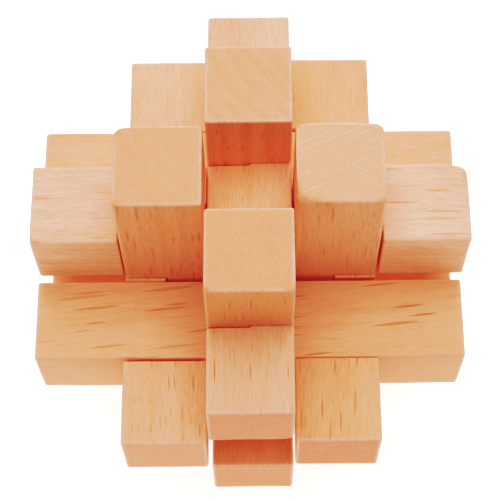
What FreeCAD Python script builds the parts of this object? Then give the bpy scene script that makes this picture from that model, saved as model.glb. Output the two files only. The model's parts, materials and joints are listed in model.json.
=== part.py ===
"""Twelve-stick wooden burr puzzle: twelve identical notched sticks locked into a six-armed cross.

Frame: +Z up, origin in the middle of the square under the puzzle, at the height of the four upright
sticks' lower ends. X runs along the crosswise sticks, Y along the lengthwise sticks, from front to
back, and Z along the upright sticks. Lengths are millimetres.

Every stick is made along its own X axis: a square bar with rounded edges and three notches side by
side over its middle, each half as deep as the bar. The two outer notches are open below and the
centre notch is open on the +Y side, so that only a quarter of the section joins one to the next.
"""
import FreeCAD, Part
import os
import Sketcher

X = FreeCAD.Vector(1, 0, 0)
Y = FreeCAD.Vector(0, 1, 0)
Z = FreeCAD.Vector(0, 0, 1)

# The sheet's driving dimensions. Stick centre lines are one pitch apart and each notch is a pitch
# long, so a stick has play of pitch - stick_width in every notch that it crosses.
DIMENSIONS = {
    "pitch": 15.0,
    "stick_width": 14.5,
    "stick_length": 75.0,
    "notch_depth": 7.25,
    "edge_radius": 0.4,
}

# Each stick's place, in pitches from the puzzle's middle, the way its two outer notches face, the
# way its centre notch faces, and how far it has settled along X and Y within its play.
STICKS = {
    "crosswise_front_stick": (-Y, -Z, Y, (-0.16, 0.01)),
    "crosswise_back_stick": (Y, -Z, -Y, (-0.16, 0.01)),
    "crosswise_top_stick": (Z, -Y, Z, (0.16, 0.39)),
    "crosswise_bottom_stick": (-Z, -Y, Z, (0.16, 0.39)),
    "lengthwise_top_stick": (Z, -X, -Z, (0.04, 0.19)),
    "lengthwise_bottom_stick": (-Z, -X, -Z, (0.24, 0.19)),
    "lengthwise_left_stick": (-X, Z, X, (0.04, -0.19)),
    "lengthwise_right_stick": (X, Z, -X, (0.04, 0.19)),
    "upright_left_stick": (-X, Y, -X, (0.19, -0.01)),
    "upright_right_stick": (X, Y, X, (-0.01, 0.36)),
    "upright_front_stick": (-Y, X, -Y, (0.04, 0.01)),
    "upright_back_stick": (Y, X, Y, (0.04, 0.01)),
}


def add_sheet(doc):
    """Spreadsheet with one named cell for each driving dimension."""
    sheet = doc.addObject("Spreadsheet::Sheet", "Dimensions")
    for row, (name, value) in enumerate(DIMENSIONS.items(), start=1):
        sheet.set(f"A{row}", name)
        sheet.set(f"B{row}", str(value))
        sheet.setAlias(f"B{row}", name)
    doc.recompute()


def add_sketch(body, name, plane_role):
    """Sketch on one of the body's own origin planes."""
    plane = next(item for item in body.Origin.OriginFeatures if item.Role == plane_role)
    sketch = body.newObject("Sketcher::SketchObject", name)
    sketch.AttachmentSupport = (plane, "")
    sketch.MapMode = "FlatFace"
    return sketch


def add_rectangle(sketch, name, left, right, bottom, top):
    """Rectangle whose four sides are held at distances from the sketch origin, as expressions."""
    x1, x2, y1, y2 = (sketch.evalExpression(side) for side in (left, right, bottom, top))
    corners = [FreeCAD.Vector(x, y, 0) for x, y in ((x1, y1), (x2, y1), (x2, y2), (x1, y2))]
    first = sketch.GeometryCount
    for start, end in zip(corners, corners[1:] + corners[:1]):
        sketch.addGeometry(Part.LineSegment(start, end), False)
    for side in range(4):
        following = first + (side + 1) % 4
        sketch.addConstraint(Sketcher.Constraint("Coincident", first + side, 2, following, 1))
        direction = "Horizontal" if side % 2 == 0 else "Vertical"
        sketch.addConstraint(Sketcher.Constraint(direction, first + side))
    low_corner, high_corner = (first, 1), (first + 1, 2)
    for label, kind, corner, value, expression in (
        ("left", "DistanceX", low_corner, x1, left),
        ("right", "DistanceX", high_corner, x2, right),
        ("bottom", "DistanceY", low_corner, y1, bottom),
        ("top", "DistanceY", high_corner, y2, top),
    ):
        index = sketch.addConstraint(Sketcher.Constraint(kind, -1, 1, *corner, value))
        sketch.renameConstraint(index, f"{name}_{label}")
        sketch.setExpression(f"Constraints.{name}_{label}", expression)


def add_bar(body):
    """Square bar along X, centred on the body's origin, with all its outer edges rounded."""
    section = add_sketch(body, "section", "YZ_Plane")
    half = "Dimensions.stick_width / 2"
    add_rectangle(section, "side", f"-{half}", half, f"-{half}", half)
    bar = body.newObject("PartDesign::Pad", "bar")
    bar.Profile = section
    bar.SideType = "Symmetric"
    bar.setExpression("Length", "Dimensions.stick_length")
    body.Document.recompute()
    rounding = body.newObject("PartDesign::Fillet", "rounded_edges")
    rounding.Base = (bar, [f"Edge{number + 1}" for number in range(len(bar.Shape.Edges))])
    rounding.setExpression("Radius", "Dimensions.edge_radius")
    body.Document.recompute()


def cut_notches(body, name, plane_role, spans, bottom, top):
    """Notches right through the bar, with the given spans along it, as one pocket."""
    sketch = add_sketch(body, f"{name}_outline", plane_role)
    for label, (left, right) in spans.items():
        add_rectangle(sketch, label, left, right, bottom, top)
    before = body.Shape.Volume
    pocket = body.newObject("PartDesign::Pocket", name)
    pocket.Profile = sketch
    pocket.SideType = "Symmetric"
    pocket.setExpression("Length", "2 * Dimensions.stick_width")
    body.Document.recompute()
    removed = before - body.Shape.Volume
    expected = len(spans) * DIMENSIONS["pitch"] * DIMENSIONS["stick_width"] * DIMENSIONS["notch_depth"]
    if not 0.7 * expected < removed < 1.01 * expected:
        raise ValueError(f"{body.Label} {name}: removed {removed:.1f} mm3, expected up to {expected:.1f}")


def add_stick(doc, label, place, outer_faces, centre_faces, settled):
    """One notched stick, turned so that its notches face the given ways, settled at its place."""
    body = doc.addObject("PartDesign::Body", label)
    body.Label = label
    add_bar(body)
    outer_spans = {
        "left_notch": ("-1.5 * Dimensions.pitch", "-0.5 * Dimensions.pitch"),
        "right_notch": ("0.5 * Dimensions.pitch", "1.5 * Dimensions.pitch"),
    }
    centre_span = {"centre_notch": ("-0.5 * Dimensions.pitch", "0.5 * Dimensions.pitch")}
    floor = "Dimensions.stick_width / 2 - Dimensions.notch_depth"
    outside = "Dimensions.stick_width"
    cut_notches(body, "outer_notches", "XZ_Plane", outer_spans, f"-{outside}", f"-({floor})")
    cut_notches(body, "centre_notch", "XY_Plane", centre_span, floor, outside)

    along = centre_faces.cross(-outer_faces)
    body.Placement.Rotation = FreeCAD.Rotation(along, centre_faces, -outer_faces, "XYZ")
    body.setExpression("Placement.Base.x", f"{place.x:g} * Dimensions.pitch + {settled[0]:g}")
    body.setExpression("Placement.Base.y", f"{place.y:g} * Dimensions.pitch + {settled[1]:g}")
    middle_height = "Dimensions.stick_length / 2"
    body.setExpression("Placement.Base.z", f"{middle_height} + {place.z:g} * Dimensions.pitch")
    return body


def check_document(doc, sticks):
    """Stop if any object failed to recompute or a stick isn't one valid closed solid."""
    for item in doc.Objects:
        if {"Invalid", "Error"} & set(item.State):
            raise ValueError(f"{item.Label} did not recompute: {item.State}")
    for stick in sticks:
        shape = stick.Shape
        if shape.isNull() or not shape.isValid() or len(shape.Solids) != 1:
            raise ValueError(f"{stick.Label} is not one valid solid")


def main():
    doc = FreeCAD.newDocument("burr_puzzle")
    add_sheet(doc)
    sticks = [add_stick(doc, label, *stick) for label, stick in STICKS.items()]
    doc.recompute()
    check_document(doc, sticks)
    os.makedirs("parts", exist_ok=True)
    for stick in sticks:
        stick.Shape.exportStep(f"parts/{stick.Label}.step")
        box = stick.Shape.BoundBox
        print(f"{stick.Label}: {stick.Shape.Volume:.1f} mm3, "
              f"x {box.XMin:.2f} to {box.XMax:.2f}, y {box.YMin:.2f} to {box.YMax:.2f}, "
              f"z {box.ZMin:.2f} to {box.ZMax:.2f}")


main()
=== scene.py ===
"""Looks for the twelve-stick burr puzzle: bare beech sticks with eased edges on a white table.

Each stick is a closed mesh made on a grid in the stick's own frame, as in the CAD: X along the stick,
the two outer notches open towards -Z and the centre notch towards +Y. A stick's own lengths are
millimetres, up to the making of its mesh. All other lengths are metres.
"""
import json
from math import cos, radians, sin

import bpy
import numpy as np
from mathutils import Euler, Matrix, Vector, noise


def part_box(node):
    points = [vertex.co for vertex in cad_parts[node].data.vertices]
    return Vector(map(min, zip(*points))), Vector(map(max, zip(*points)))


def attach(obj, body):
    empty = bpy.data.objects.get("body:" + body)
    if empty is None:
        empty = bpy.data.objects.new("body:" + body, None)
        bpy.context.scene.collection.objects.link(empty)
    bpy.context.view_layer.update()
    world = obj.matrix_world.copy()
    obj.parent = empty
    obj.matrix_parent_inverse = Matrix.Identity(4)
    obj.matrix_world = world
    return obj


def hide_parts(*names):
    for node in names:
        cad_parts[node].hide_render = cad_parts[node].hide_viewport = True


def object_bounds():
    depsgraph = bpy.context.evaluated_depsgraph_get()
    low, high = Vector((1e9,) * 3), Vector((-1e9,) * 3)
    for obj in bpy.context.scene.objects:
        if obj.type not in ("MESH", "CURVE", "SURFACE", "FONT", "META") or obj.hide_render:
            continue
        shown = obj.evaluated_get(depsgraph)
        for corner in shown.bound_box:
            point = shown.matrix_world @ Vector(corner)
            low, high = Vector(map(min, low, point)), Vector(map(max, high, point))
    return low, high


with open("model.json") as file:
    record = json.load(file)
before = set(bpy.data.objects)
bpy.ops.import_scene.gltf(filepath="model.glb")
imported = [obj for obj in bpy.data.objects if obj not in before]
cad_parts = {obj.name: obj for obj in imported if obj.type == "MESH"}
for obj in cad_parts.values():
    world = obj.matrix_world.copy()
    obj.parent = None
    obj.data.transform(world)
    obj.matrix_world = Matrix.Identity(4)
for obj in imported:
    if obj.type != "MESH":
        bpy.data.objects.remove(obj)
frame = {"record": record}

cad_low, cad_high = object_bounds()

MM = 0.001
X, Y, Z = Vector((1, 0, 0)), Vector((0, 1, 0)), Vector((0, 0, 1))

# The sticks' geometry, in millimetres, as in the CAD.
PITCH = 15.0
NOTCH_ENDS = (-1.5 * PITCH, -0.5 * PITCH, 0.5 * PITCH, 1.5 * PITCH)

# Distances from an edge, in millimetres, at which the grid has extra lines, so that the rounding of
# the edge has enough points to be smooth, and the usual step elsewhere.
ROUNDING_LINES = (0.12, 0.3, 0.55, 0.9, 1.4, 2.1)
NOTCH_LINES = (0.1, 0.22, 0.36, 0.5)
GRID_STEP = 2.2

# Angle in degrees between faces from which their common edge is shaded sharp.
SHARP_ANGLE = 40

# Rounding of the edges, in millimetres. A notch's edges are crisp. An outside edge is rounder, by an
# amount that wanders along it and grows at the nicks. The extra is gone a band's width away from the
# outside edge, and fades over the last part of that. The scales are noise cells per millimetre.
NOTCH_RADIUS = 0.38
OUTSIDE_BAND = 2.0
OUTSIDE_FADE = 0.8
OUTSIDE_EXTRA = 0.1
OUTSIDE_WANDER = 0.2
NICK_EXTRA = 0.3
NICK_THRESHOLD = 0.3
WANDER_SCALE = 0.11
NICK_SCALE = 0.8

# A worn corner's rounding starts this many times its radius away from the corner, and grows from the
# plain radius, in millimetres.
WORN_REACH = 2.4
PLAIN_RADIUS = 0.4

# Pale edges, partly real wear and partly a painted highlight where the edges catch the light, fade by
# this much for each millimetre away from an edge, from a value that is cut off at 1. A long edge has
# this share of the paleness of an end's edge.
WEAR_AND_HIGHLIGHT_AT_EDGE = 1.2
WEAR_AND_HIGHLIGHT_FADE = 2.1
LONG_EDGE_WEAR_AND_HIGHLIGHT = 0.4


def srgb(red, green, blue):
    """Linear colour of an sRGB colour given from 0 to 255."""
    def linear(value):
        value /= 255
        return value / 12.92 if value <= 0.04045 else ((value + 0.055) / 1.055) ** 2.4
    return (linear(red), linear(green), linear(blue), 1.0)


# ---------------------------------------------------------------------------------------------------
# The sticks: which way the notches face, how the board was sawn, and where the stick is worn
# ---------------------------------------------------------------------------------------------------

class Stick:
    """One stick's notch directions and the character of its wood.

    rays: angle in degrees, about the stick's X axis, of the board's radial direction from +Z. Faces
        across it show short flecks and faces along it are plain.
    tilt: angles in degrees between the grain and the stick, about Y and about Z.
    flecks: length, width and spacing of the ray flecks in millimetres, their strength, and the
        share of places that have one.
    fading: share of the flecks' strength that is left at the -X end and at the +X end.
    rings: ring width in millimetres and strength of the growth rings.
    fibre: strength of the fine streaks along the grain.
    tone: colour of the long grain: 0 is the mean, -1 the pale and 1 the deep beech.
    end_tone: the same for the end grain.
    scratches: strength of the scratches on the ends, and their angle in degrees from the Y axis
        towards -Z, or None.
    worn: corners that are rounded off, as signs along X, Y and Z with a radius in millimetres.
    """

    def __init__(self, outer, centre, rays=0, tilt=(0, 0), flecks=(4.0, 0.45, 2.0, 0.7, 0.6),
                 fading=(1.0, 1.0), rings=(1.8, 0.15), fibre=0.4, tone=0.0, end_tone=0.2,
                 scratches=None, worn=()):
        self.outer, self.centre = outer, centre
        self.rays, self.tilt, self.rings, self.fibre = rays, tilt, rings, fibre
        self.flecks, self.fading = flecks, fading
        self.tone, self.end_tone, self.scratches, self.worn = tone, end_tone, scratches, worn


STICKS = {
    "crosswise_front_stick": Stick(-Z, Y, rays=3, tilt=(0, -6), flecks=(13.0, 0.85, 1.8, 0.9, 0.8),
                                   fading=(0.7, 1.0), fibre=0.3, tone=-0.1),
    "crosswise_back_stick": Stick(-Z, -Y, rays=-8, tilt=(0, 2), flecks=(5.0, 0.5, 2.0, 0.4, 0.5)),
    "crosswise_top_stick": Stick(-Y, Z, rays=84, tilt=(1, 0), flecks=(11.0, 0.55, 1.4, 0.7, 0.9),
                                 fibre=0.5, tone=-1.0, worn=(((-1, 1, 1), 1.6), ((1, 1, -1), 0.9))),
    "crosswise_bottom_stick": Stick(-Y, Z, rays=20, tilt=(2, 0)),
    "lengthwise_top_stick": Stick(-X, -Z, rays=95, tilt=(0, 1), flecks=(7.0, 0.5, 1.8, 0.9, 0.6),
                                  fading=(0.6, 1.0), tone=-0.5, end_tone=1.1,
                                  worn=(((1, 1, 1), 1.0),)),
    "lengthwise_bottom_stick": Stick(-X, -Z, rays=80, rings=(1.75, 0.7), tilt=(0, 1), tone=0.1,
                                     end_tone=1.0, scratches=(0.7, 90)),
    "lengthwise_left_stick": Stick(Z, X, rays=5, tilt=(0, 1), flecks=(4.8, 0.48, 1.1, 0.65, 0.9),
                                   fading=(1.0, 0.4), tone=-0.4, end_tone=0.4),
    "lengthwise_right_stick": Stick(Z, -X, rays=-6, tilt=(0, -2), flecks=(7.0, 0.5, 1.5, 0.85, 0.8),
                                    fading=(0.4, 1.0), tone=0.2, end_tone=1.4),
    "upright_left_stick": Stick(Y, -X, rays=52, flecks=(10.0, 0.5, 0.9, 0.6, 0.9),
                                rings=(2.4, 0.3), tone=0.1, end_tone=0.25,
                                worn=(((1, 1, -1), 1.3), ((1, 1, 1), 0.8))),
    "upright_right_stick": Stick(Y, X, rays=-45, flecks=(9.0, 0.5, 1.1, 0.55, 0.9),
                                 rings=(2.2, 0.05), tone=-0.15, end_tone=-0.35, scratches=(0.6, 24),
                                 worn=(((-1, -1, 1), 2.0), ((-1, -1, -1), 1.0), ((-1, 1, -1), 1.2),
                                       ((-1, 1, 1), 1.0))),
    "upright_front_stick": Stick(X, -Y, rays=45, tilt=(0, 1), tone=1.1, end_tone=0.5,
                                 flecks=(8.0, 0.42, 1.3, 0.75, 0.8), rings=(2.0, 0.0),
                                 worn=(((-1, 1, 1), 0.8), ((-1, 1, -1), 0.8))),
    "upright_back_stick": Stick(X, Y, rays=-37, tilt=(0, 1), tone=0.1, end_tone=0.0,
                                rings=(2.9, 0.5)),
}


# ---------------------------------------------------------------------------------------------------
# Mesh
# ---------------------------------------------------------------------------------------------------

def grid_lines(low, high, edges, lines):
    """Grid lines from low to high: at each edge, at the given distances from it, and between."""
    found = {low, high, *edges}
    for edge in (low, high):
        found.update(edge + sign * distance for distance in ROUNDING_LINES for sign in (-1, 1))
    for edge in edges:
        found.update(edge + sign * distance for distance in lines for sign in (-1, 1))
    ordered = sorted(round(value, 6) for value in found if low <= value <= high)
    filled = []
    for start, end in zip(ordered, ordered[1:]):
        steps = max(1, round((end - start) / GRID_STEP))
        filled.extend(start + (end - start) * step / steps for step in range(steps))
    return np.array(filled + [ordered[-1]])


def run_limits(solid, lines, axis):
    """For each cell of the solid, where the run of solid cells along the axis starts and ends."""
    cells = np.moveaxis(solid, axis, 0)
    starts, ends = np.zeros(cells.shape), np.zeros(cells.shape)
    for index in range(len(cells)):
        before = cells[index - 1] if index else np.zeros_like(cells[0])
        starts[index] = np.where(before, starts[index - 1], lines[index])
    for index in reversed(range(len(cells))):
        last = index + 1 == len(cells)
        after = np.zeros_like(cells[0]) if last else cells[index + 1]
        ends[index] = np.where(after, ends[0 if last else index + 1], lines[index + 1])
    return np.moveaxis(starts, 0, axis), np.moveaxis(ends, 0, axis)


def notched_grid(length, width):
    """Grid lines along X, Y and Z, and which of the cells between them are wood."""
    half = width / 2
    lines = [grid_lines(-length / 2, length / 2, NOTCH_ENDS, NOTCH_LINES)]
    lines += [grid_lines(-half, half, (0.0,), NOTCH_LINES)] * 2
    x, y, z = np.meshgrid(*[(line[1:] + line[:-1]) / 2 for line in lines], indexing="ij")
    outer_notches = (abs(x) > 0.5 * PITCH) & (abs(x) < 1.5 * PITCH) & (z < 0)
    centre_notch = (abs(x) < 0.5 * PITCH) & (y > 0)
    return lines, ~(outer_notches | centre_notch)


def surface(solid):
    """Corners, as indices of grid lines, of the quads between wood and air, each turned outwards."""
    padded = np.pad(solid, 1)
    quads = []
    for axis in range(3):
        cells = np.moveaxis(padded, axis, 0)
        others = [k for k in range(3) if k != axis]
        for facing in (1, -1):
            wood, air = (cells[:-1], cells[1:]) if facing > 0 else (cells[1:], cells[:-1])
            plane, first, second = np.nonzero(wood & ~air)
            corners = []
            for step_a, step_b in ((0, 0), (1, 0), (1, 1), (0, 1)):
                corner = np.zeros((len(plane), 3), int)
                corner[:, axis] = plane
                corner[:, others[0]] = first - 1 + step_a
                corner[:, others[1]] = second - 1 + step_b
                corners.append(corner)
            turned = (facing > 0) == (axis != 1)
            quads.append(np.stack(corners if turned else corners[::-1], axis=1))
    return np.concatenate(quads)


def edge_radius(point, half_sizes, worn, seed):
    """Rounding radius near a point: hand-sanded outside edges that vary, and crisp notch edges."""
    insets = sorted(half - abs(value) for half, value in zip(half_sizes, point))
    outside = min(1.0, max(0.0, (OUTSIDE_BAND - insets[1]) / OUTSIDE_FADE))
    wander = OUTSIDE_WANDER * noise.noise(Vector(point) * WANDER_SCALE + seed)
    nick = NICK_EXTRA * max(0.0, noise.noise(Vector(point) * NICK_SCALE - seed) - NICK_THRESHOLD)
    radius = NOTCH_RADIUS + outside * (OUTSIDE_EXTRA + wander + nick)
    for signs, reach in worn:
        corner = Vector([sign * half for sign, half in zip(signs, half_sizes)])
        closeness = max(0.0, 1 - (Vector(point) - corner).length / (WORN_REACH * reach))
        radius += (reach - PLAIN_RADIUS) * closeness * (2 - closeness)
    return radius


def rounded(points, index, lines, solid, radius):
    """The points with every outside edge and corner of the solid rounded to each point's radius."""
    inward = np.zeros_like(points)
    cells = index[:, None, :] + np.array([(i, j, k) for i in (-1, 0) for j in (-1, 0) for k in (-1, 0)])
    inside = np.all((cells >= 0) & (cells < np.array(solid.shape)), axis=2)
    clipped = np.clip(cells, 0, np.array(solid.shape) - 1)
    wood = inside & solid[clipped[..., 0], clipped[..., 1], clipped[..., 2]]
    for axis in range(3):
        starts, ends = run_limits(solid, lines[axis], axis)
        start = starts[clipped[..., 0], clipped[..., 1], clipped[..., 2]]
        end = ends[clipped[..., 0], clipped[..., 1], clipped[..., 2]]
        here = points[:, None, axis]
        above = np.where(wood, end - here, -1).max(axis=1)
        below = np.where(wood, here - start, -1).max(axis=1)
        inward[:, axis] = np.maximum(radius - above, 0) - np.maximum(radius - below, 0)
    largest = abs(inward).max(axis=1)
    total = np.linalg.norm(inward, axis=1)
    shrink = np.divide(largest, total, out=np.ones_like(total), where=total > 1e-9)
    return points - inward + inward * shrink[:, None]


def edge_wear_and_highlight(points, half_sizes):
    """Paleness of each point, partly real wear and partly a painted edge highlight: 0 on the flats, 1
    on the edges of the ends, and less on the long edges.
    """
    insets = np.array(half_sizes) - abs(points)
    nearest = np.sort(insets, axis=1)
    on_edge = np.clip(WEAR_AND_HIGHLIGHT_AT_EDGE - WEAR_AND_HIGHLIGHT_FADE * np.hypot(nearest[:, 0], nearest[:, 1]), 0, 1)
    at_end = np.clip(1 - insets[:, 0], 0, 1)
    return on_edge * (LONG_EDGE_WEAR_AND_HIGHLIGHT + (1 - LONG_EDGE_WEAR_AND_HIGHLIGHT) * at_end)


def stick_mesh(name, stick, length, width):
    """Closed mesh of one stick in its own frame, in metres, with its edge wear and painted edge
    highlight as an attribute.
    """
    half_sizes = (length / 2, width / 2, width / 2)
    lines, solid = notched_grid(length, width)
    quads = surface(solid)
    index, faces = np.unique(quads.reshape(-1, 3), axis=0, return_inverse=True)
    faces = faces.reshape(-1, 4)
    points = np.stack([lines[axis][index[:, axis]] for axis in range(3)], axis=1)
    seed = Vector((sum(map(ord, name)) % 97, len(name) * 3.7, 11.3))
    radius = np.array([edge_radius(p, half_sizes, stick.worn, seed) for p in points])
    points = rounded(points, index, lines, solid, radius)
    mesh = bpy.data.meshes.new(name)
    mesh.from_pydata([tuple(p) for p in points * MM], [], faces.tolist())
    mesh.update()
    # Pale edges, partly real wear and partly a painted highlight, as a point attribute.
    wear_with_highlight = mesh.attributes.new("edge_wear_and_highlight", "FLOAT", "POINT")
    wear_with_highlight.data.foreach_set("value", edge_wear_and_highlight(points, half_sizes).astype(np.float32))
    mesh.shade_smooth()
    mesh.set_sharp_from_angle(angle=radians(SHARP_ANGLE))
    return mesh


# ---------------------------------------------------------------------------------------------------
# Beech
# ---------------------------------------------------------------------------------------------------

PALE_BEECH = srgb(246, 214, 181)
MEAN_BEECH = srgb(237, 191, 148)
DEEP_BEECH = srgb(228, 168, 118)
FLECK = srgb(166, 108, 60)
LATE_WOOD = srgb(210, 152, 104)
END_GRAIN = srgb(229, 175, 135)
PALE_END = srgb(240, 206, 154)
DEEP_END = srgb(222, 153, 112)
# Pale edges: partly real wear, partly a painted highlight where the edges catch the light. Also the
# pale tint of fibres, end grain and scratches.
PALE_WEAR_AND_HIGHLIGHT = srgb(252, 232, 204)

# Noise cells per millimetre along the grain, along the rings and across them.
RING_WANDER = (0.012, 0.06, 0.06)
RING_YEARS = (0.0, 0.0, 0.4)
STREAKS = (0.05, 0.8, 0.8)
FIBRES = (0.5, 3.2, 3.2)
PORES = (1.0, 8.0, 8.0)
CLOUDS = (0.05, 0.13, 0.13)
END_SPECKLE = (0.3, 1.6, 4.2)
END_MOTTLE = (0.1, 0.25, 0.6)
# Ragged noise on the pale edges, which are partly wear and partly a painted highlight.
RAGGED_WEAR_AND_HIGHLIGHT = (1.4, 1.4, 1.4)

# Lengths in millimetres. The pith is the centre of the rings.
PITH_DISTANCE = 60.0
RING_SHIFT = 3.0
FLECK_CELL_DEPTH = 14.0
FLECK_HALF_DEPTH = 9.0
FAINT_FLECK_WIDTH = 0.4
SCRATCH_SIZE = (34.0, 0.34)
SCRATCH_SPACING = 0.7

# Size of the bumps, in metres, for one unit of relief.
RELIEF_HEIGHT = 0.00006


class Graph:
    """Adds nodes to a material or the world, with a socket or a constant for any input."""

    def __init__(self, owner):
        self.tree = owner.node_tree

    def add(self, kind, inputs, output=0, **settings):
        node = self.tree.nodes.new(kind)
        for setting, value in settings.items():
            setattr(node, setting, value)
        for key, value in inputs.items():
            socket = node.inputs[key]
            if isinstance(value, bpy.types.NodeSocket):
                self.tree.links.new(value, socket)
            else:
                socket.default_value = value
        return node.outputs[output] if node.outputs else None

    def math(self, operation, first, second=0.0, third=0.0):
        return self.add("ShaderNodeMath", {0: first, 1: second, 2: third}, operation=operation)

    def vector(self, operation, first, second=(0, 0, 0)):
        output = 1 if operation in ("LENGTH", "DOT_PRODUCT") else 0
        return self.add("ShaderNodeVectorMath", {0: first, 1: second}, output, operation=operation)

    def scaled(self, vector, factors):
        return self.vector("MULTIPLY", vector, factors)

    def noise(self, vector, scale, detail=2.0, roughness=0.5):
        inputs = {"Vector": self.scaled(vector, scale), "Scale": 1.0, "Detail": detail,
                  "Roughness": roughness}
        return self.add("ShaderNodeTexNoise", inputs)

    def ramp(self, value, low, high, to_low=0.0, to_high=1.0):
        inputs = {"Value": value, "From Min": low, "From Max": high, "To Min": to_low,
                  "To Max": to_high}
        return self.add("ShaderNodeMapRange", inputs, interpolation_type="SMOOTHSTEP")

    def mix(self, factor, first, second):
        """Mix of two colours, whose sockets the node has as its inputs 6 and 7 and its output 2."""
        return self.add("ShaderNodeMix", {0: factor, 6: first, 7: second}, 2, data_type="RGBA")

    def separate(self, vector):
        node = self.tree.nodes.new("ShaderNodeSeparateXYZ")
        self.tree.links.new(vector, node.inputs[0])
        return node.outputs


def blend_colours(first, second, share):
    """The first colour with a share of it replaced by the second."""
    return tuple(a + (b - a) * share for a, b in zip(first, second))


def spindles(graph, place, size, spacing, strength, share, seed):
    """Long thin lens shapes lying along the first axis of place: up to strength inside, 0 outside.

    size: full length and width in millimetres of a large one. spacing: distance between neighbours
    across them. share: the share of places that have one.
    """
    length, width = size
    cell = (1.3 * length, spacing, FLECK_CELL_DEPTH)
    placed = graph.vector("ADD", graph.scaled(place, tuple(1 / side for side in cell)), (seed, 0, 0))
    nearest = graph.tree.nodes.new("ShaderNodeTexVoronoi")
    nearest.inputs["Scale"].default_value = 1.0
    nearest.inputs["Randomness"].default_value = 1.0
    graph.tree.links.new(placed, nearest.inputs["Vector"])
    offset = graph.vector("SUBTRACT", placed, nearest.outputs["Position"])
    semi_axes = (length / 2, width / 2, FLECK_HALF_DEPTH)
    offset = graph.scaled(offset, tuple(side / half for side, half in zip(cell, semi_axes)))
    along, across, depth = graph.separate(offset)
    chance, scale, fade = graph.separate(nearest.outputs["Color"])
    reach = graph.ramp(scale, 0.0, 1.0, 0.45, 1.0)
    along = graph.math("DIVIDE", along, reach)
    across = graph.math("DIVIDE", graph.math("ABSOLUTE", across), graph.math("POWER", reach, 0.4))
    away = graph.math("MULTIPLY_ADD", along, along, across)
    away = graph.math("MULTIPLY_ADD", depth, depth, away)
    inside = graph.ramp(away, 0.35, 1.0, 1.0, 0.0)
    shown = graph.ramp(chance, 1 - share, 1.08 - share)
    fade = graph.ramp(fade, 0.0, 1.0, 0.45 * strength, strength)
    return graph.math("MULTIPLY", graph.math("MULTIPLY", inside, shown), fade)


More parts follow.
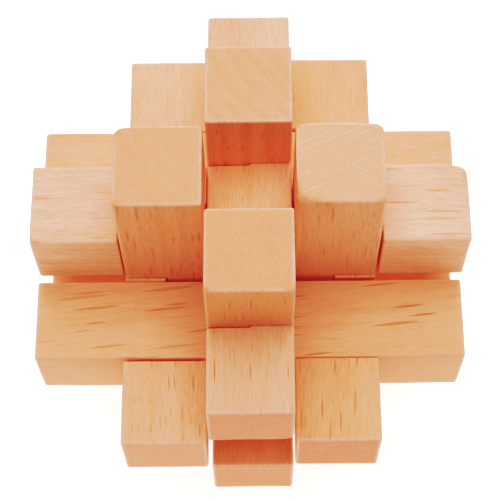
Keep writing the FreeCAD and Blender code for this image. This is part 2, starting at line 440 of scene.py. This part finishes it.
def beech(name, stick):
    """Solid beech: rings, fibres, pores and ray flecks in the stick's own space, with end grain."""
    material = bpy.data.materials.new(name)
    material.use_nodes = True
    material.node_tree.nodes.clear()
    graph = Graph(material)
    seed = float(sum(map(ord, name)) % 61)

    coordinates = graph.tree.nodes.new("ShaderNodeTexCoord")
    millimetres = graph.scaled(coordinates.outputs["Object"], (1000, 1000, 1000))
    rotation = Euler((radians(stick.rays), radians(stick.tilt[0]), radians(stick.tilt[1])))
    grain = graph.add("ShaderNodeMapping", {"Vector": millimetres, "Rotation": rotation,
                                            "Location": (seed * 7, 0, 0)})
    facing = graph.separate(coordinates.outputs["Normal"])
    end_grain = graph.ramp(graph.math("ABSOLUTE", facing[0]), 0.55, 0.85)

    wander = graph.noise(grain, RING_WANDER)
    along, across, depth = graph.separate(grain)
    pith = graph.math("ADD", depth, PITH_DISTANCE + seed * 0.4)
    curved = graph.math("SQRT", graph.math("ADD", graph.math("MULTIPLY", pith, pith),
                                           graph.math("MULTIPLY", across, across)))
    years = graph.noise(grain, RING_YEARS, detail=1)
    radial = graph.math("MULTIPLY_ADD", years, RING_SHIFT, curved)
    radial = graph.math("MULTIPLY_ADD", wander, RING_SHIFT, radial)
    ring_width, ring_strength = stick.rings
    phase = graph.math("FRACT", graph.math("DIVIDE", radial, ring_width))
    late = graph.math("MULTIPLY", graph.ramp(phase, 0.0, 0.7), graph.ramp(phase, 1.0, 0.7))

    streaks = graph.noise(grain, STREAKS, detail=3, roughness=0.6)
    fibres = graph.noise(grain, FIBRES, detail=3, roughness=0.7)
    pores = graph.noise(grain, PORES, detail=1)
    clouds = graph.noise(grain, CLOUDS)
    length, width, spacing, strength, share = stick.flecks
    flecks = spindles(graph, grain, (length, width), spacing, strength, share, seed)
    faint = spindles(graph, grain, (0.6 * length, FAINT_FLECK_WIDTH), 0.7 * spacing, 0.4 * strength,
                     0.8, seed + 31)
    flecks = graph.math("MAXIMUM", flecks, faint)
    radial_axis = (0.0, sin(radians(stick.rays)), cos(radians(stick.rays)))
    across_rays = graph.vector("DOT_PRODUCT", coordinates.outputs["Normal"], radial_axis)
    seen = graph.ramp(graph.math("ABSOLUTE", across_rays), 0.3, 0.65, 0.06, 1.0)
    flecks = graph.math("MULTIPLY", flecks, seen)
    half_length = 1.5 * PITCH
    left = graph.ramp(graph.separate(millimetres)[0], -half_length, half_length, *stick.fading)
    flecks = graph.math("MULTIPLY", flecks, left)
    wear_with_highlight = graph.tree.nodes.new("ShaderNodeAttribute")
    wear_with_highlight.attribute_name = "edge_wear_and_highlight"
    ragged = graph.noise(millimetres, RAGGED_WEAR_AND_HIGHLIGHT, detail=3, roughness=0.7)

    base = blend_colours(MEAN_BEECH, DEEP_BEECH if stick.tone > 0 else PALE_BEECH, abs(stick.tone))
    colour = graph.mix(graph.ramp(clouds, 0.35, 0.65), base, blend_colours(base, DEEP_BEECH, 0.35))
    colour = graph.mix(graph.math("MULTIPLY", late, ring_strength), colour, LATE_WOOD)
    colour = graph.mix(graph.ramp(streaks, 0.4, 0.75, 0.0, 0.3), colour, LATE_WOOD)
    pale_fibre = blend_colours(base, PALE_WEAR_AND_HIGHLIGHT, 0.35)
    colour = graph.mix(graph.ramp(fibres, 0.5, 0.3, 0.0, 1.2 * stick.fibre), colour, pale_fibre)
    colour = graph.mix(graph.ramp(fibres, 0.5, 0.7, 0.0, 0.8 * stick.fibre), colour, LATE_WOOD)
    colour = graph.mix(graph.ramp(pores, 0.55, 0.75, 0.0, 0.35 * stick.fibre), colour, FLECK)
    long_grain = graph.mix(flecks, colour, FLECK)

    speckle = graph.noise(grain, END_SPECKLE, detail=3, roughness=0.75)
    mottle = graph.noise(grain, END_MOTTLE)
    end_base = blend_colours(END_GRAIN, DEEP_END if stick.end_tone > 0 else PALE_END,
                             abs(stick.end_tone))
    deep_end = blend_colours(end_base, FLECK, 0.3)
    pale_end = blend_colours(end_base, PALE_WEAR_AND_HIGHLIGHT, 0.4)
    end = graph.mix(graph.math("MULTIPLY", late, ring_strength), end_base, LATE_WOOD)
    end = graph.mix(graph.ramp(speckle, 0.48, 0.68, 0.0, 0.65), end, deep_end)
    end = graph.mix(graph.ramp(speckle, 0.5, 0.3, 0.0, 0.55), end, pale_end)
    end = graph.mix(graph.ramp(mottle, 0.4, 0.7, 0.0, 0.12), end, pale_end)
    if stick.scratches:
        scratch_strength, angle = stick.scratches
        rotation = (radians(angle), 0, 0)
        turned = graph.add("ShaderNodeMapping", {"Vector": millimetres, "Rotation": rotation})
        depth, along, across = graph.separate(turned)
        lengthwise = graph.add("ShaderNodeCombineXYZ", {0: along, 1: across, 2: depth})
        scratches = spindles(graph, lengthwise, SCRATCH_SIZE, SCRATCH_SPACING, scratch_strength, 1.0,
                             seed + 9)
        end = graph.mix(scratches, end, PALE_WEAR_AND_HIGHLIGHT)
    colour = graph.mix(end_grain, long_grain, end)
    # Pale edges: partly real wear, partly a painted highlight where the edges catch the light.
    worn = graph.math("MULTIPLY", wear_with_highlight.outputs["Fac"], graph.ramp(ragged, 0.3, 0.6, 0.3, 1.0))
    colour = graph.mix(worn, colour, PALE_WEAR_AND_HIGHLIGHT)

    relief = graph.math("MULTIPLY_ADD", fibres, 0.5, graph.math("MULTIPLY", pores, -0.6))
    relief = graph.math("SUBTRACT", relief, graph.math("MULTIPLY", flecks, 0.5))
    relief = graph.math("MULTIPLY_ADD", graph.math("MULTIPLY", speckle, end_grain), 1.2, relief)
    bump = graph.add("ShaderNodeBump", {"Height": relief, "Strength": 0.35,
                                        "Distance": RELIEF_HEIGHT})
    roughness = graph.ramp(fibres, 0.3, 0.7, 0.58, 0.72)
    shader = graph.add("ShaderNodeBsdfPrincipled", {
        "Base Color": colour, "Roughness": roughness, "Normal": bump,
        "Specular IOR Level": 0.35,
    })
    graph.add("ShaderNodeOutputMaterial", {"Surface": shader})
    return material


# ---------------------------------------------------------------------------------------------------
# Sticks in place
# ---------------------------------------------------------------------------------------------------

def add_stick(name, stick, body):
    """The stick's mesh, turned and placed on its CAD node, riding on the node's body."""
    low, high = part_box(name)
    size = sorted((high - low) / MM)
    mesh = stick_mesh(name, stick, size[2], size[0])
    mesh.materials.append(beech(name + "_beech", stick))
    piece = bpy.data.objects.new(name + "_wood", mesh)
    bpy.context.scene.collection.objects.link(piece)
    up, side = -stick.outer, stick.centre
    turn = Matrix((side.cross(up), side, up)).transposed().to_4x4()
    piece.matrix_world = Matrix.Translation((low + high) / 2) @ turn
    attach(piece, body)
    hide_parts(name)


for body, nodes in frame["record"]["behaviour"]["bodies"].items():
    for node in nodes:
        add_stick(node, STICKS[node], body)


# ---------------------------------------------------------------------------------------------------
# Table, light and camera
# ---------------------------------------------------------------------------------------------------

# The table: its size in metres, its reflectance for the light and for the camera, and its glow. The
# glow lights the puzzle from below and falls off between two distances from the middle. What the camera
# sees of the glow rises between two distances, so that the table meets the walls without a line.
TABLE_SIZE = 6.0
TABLE_WHITE = (0.8, 0.42)
GLOW_REACH = (0.1, 0.35)
GLOW_LIGHT = (0.88, 0.1)
SEEN_REACH = (0.15, 0.8)
SEEN_LIGHT = (0.95, 1.25)

# The room: the light of the walls, which reach from the horizon to the first of two elevations in
# degrees and have faded into the ceiling at the second, and what the camera sees of both.
WALLS_TOP = (6.5, 8)
WALLS_LIGHT = 0.7
CEILING_LIGHT = 0.08
ROOM_SEEN = 1.3

# The camera: its direction and roll in degrees, its distance from the puzzle's middle and how far that
# middle lies to the right of the view's middle and above it in metres, and its lens in millimetres.
CAMERA_AZIMUTH = -0.72
CAMERA_ELEVATION = 66.13
CAMERA_ROLL = -1.13
CAMERA_DISTANCE = 0.28225
MIDDLE_RIGHT = -0.00004
MIDDLE_UP = -0.0012
LENS = 110.16
SENSOR_WIDTH = 36.0


def for_camera(graph, lighting, seen):
    """One value for the light that a surface gives off, and another for what the camera sees."""
    path = graph.tree.nodes.new("ShaderNodeLightPath")
    inputs = {"Value": path.outputs["Is Camera Ray"], "To Min": lighting, "To Max": seen}
    return graph.add("ShaderNodeMapRange", inputs)


def white_table():
    """Large matt white surface under the puzzle, bright enough to lose its shadows."""
    mesh = bpy.data.meshes.new("table")
    half = TABLE_SIZE / 2
    corners = [(-half, -half, 0), (half, -half, 0), (half, half, 0), (-half, half, 0)]
    mesh.from_pydata(corners, [], [(0, 1, 2, 3)])
    table = bpy.data.objects.new("table", mesh)
    bpy.context.scene.collection.objects.link(table)
    material = bpy.data.materials.new("white_table")
    material.use_nodes = True
    tree = material.node_tree
    shader = tree.nodes["Principled BSDF"]
    shader.inputs["Roughness"].default_value = 0.9
    shader.inputs["Specular IOR Level"].default_value = 0.0
    shader.inputs["Emission Color"].default_value = (1, 1, 1, 1)
    graph = Graph(material)
    place = tree.nodes.new("ShaderNodeTexCoord").outputs["Object"]
    away = graph.vector("LENGTH", place)
    glow = graph.ramp(away, *GLOW_REACH, *GLOW_LIGHT)
    seen = graph.ramp(away, *SEEN_REACH, *SEEN_LIGHT)
    tree.links.new(for_camera(graph, *TABLE_WHITE), shader.inputs["Base Color"])
    tree.links.new(for_camera(graph, glow, seen), shader.inputs["Emission Strength"])
    mesh.materials.append(material)


def softbox(name, size, power, azimuth, elevation, distance):
    """Square area light at a direction and distance from the puzzle, aimed at its middle."""
    lamp = bpy.data.lights.new(name, "AREA")
    lamp.shape, lamp.size, lamp.energy = "SQUARE", size, power
    light = bpy.data.objects.new(name, lamp)
    bpy.context.scene.collection.objects.link(light)
    turn, rise = radians(azimuth), radians(elevation)
    away = Vector((-sin(turn) * cos(rise), -cos(turn) * cos(rise), sin(rise)))
    light.location = middle + away * distance
    light.rotation_euler = away.to_track_quat("Z", "Y").to_euler()


def add_world():
    """White room: bright walls near the horizon and a dim ceiling, but all white to the camera."""
    world = bpy.data.worlds.new("white_room")
    world.use_nodes = True
    tree = world.node_tree
    background = tree.nodes["Background"]
    background.inputs["Color"].default_value = (1, 1, 1, 1)
    graph = Graph(world)
    direction = tree.nodes.new("ShaderNodeTexCoord").outputs["Generated"]
    rise = graph.math("ABSOLUTE", graph.separate(direction)[2])
    fade = [sin(radians(elevation)) for elevation in WALLS_TOP]
    room = graph.ramp(rise, *fade, WALLS_LIGHT, CEILING_LIGHT)
    tree.links.new(for_camera(graph, room, ROOM_SEEN), background.inputs["Strength"])
    bpy.context.scene.world = world


def set_response(red, green, blue):
    """Film response: displayed linear value at some scene-linear values of each colour."""
    view = bpy.context.scene.view_settings
    view.view_transform = "Standard"
    view.use_curve_mapping = True
    mapping = view.curve_mapping
    mapping.extend = "HORIZONTAL"
    mapping.clip_max_x = 2.0
    for curve, points in zip(mapping.curves, (red, green, blue)):
        curve.points[1].location = points[-1]
        for point in points[:-1]:
            curve.points.new(*point)
        for point in curve.points:
            point.handle_type = "AUTO_CLAMPED"
    mapping.update()


def add_camera():
    """Camera high in front of the puzzle, turned and rolled by about a degree."""
    azimuth = radians(CAMERA_AZIMUTH)
    elevation = radians(CAMERA_ELEVATION)
    roll = radians(CAMERA_ROLL)
    data = bpy.data.cameras.new("camera")
    data.sensor_width = SENSOR_WIDTH
    data.lens = LENS
    data.clip_start = 0.01
    camera = bpy.data.objects.new("camera", data)
    bpy.context.scene.collection.objects.link(camera)
    forward = Vector((sin(azimuth) * cos(elevation), cos(azimuth) * cos(elevation), -sin(elevation)))
    level = Vector((cos(azimuth), -sin(azimuth), 0))
    upright = level.cross(forward)
    right = level * cos(roll) + upright * sin(roll)
    up = upright * cos(roll) - level * sin(roll)
    camera.matrix_world = Matrix((right, up, -forward)).transposed().to_4x4()
    camera.location = middle - forward * CAMERA_DISTANCE - right * MIDDLE_RIGHT - up * MIDDLE_UP
    bpy.context.scene.camera = camera


middle = Vector((0, 0, (cad_low.z + cad_high.z) / 2))
white_table()
softbox("overhead", size=0.5, power=2.7, azimuth=0, elevation=90, distance=0.7)
softbox("behind", size=0.5, power=2.5, azimuth=180, elevation=50, distance=0.7)
add_world()
set_response(red=((0.03, 0.13), (0.1, 0.34), (0.3, 0.59), (0.6, 0.75), (0.95, 0.84), (1.1, 1.0)),
             green=((0.05, 0.028), (0.1, 0.09), (0.2, 0.225), (0.35, 0.43), (0.55, 0.55), (0.9, 0.82),
                    (1.08, 1.0)),
             blue=((0.04, 0.026), (0.1, 0.06), (0.2, 0.2), (0.35, 0.385), (0.9, 0.82), (1.08, 1.0)))
# Light bounces many times between the sticks.
bpy.context.scene.cycles.diffuse_bounces = 10
add_camera()
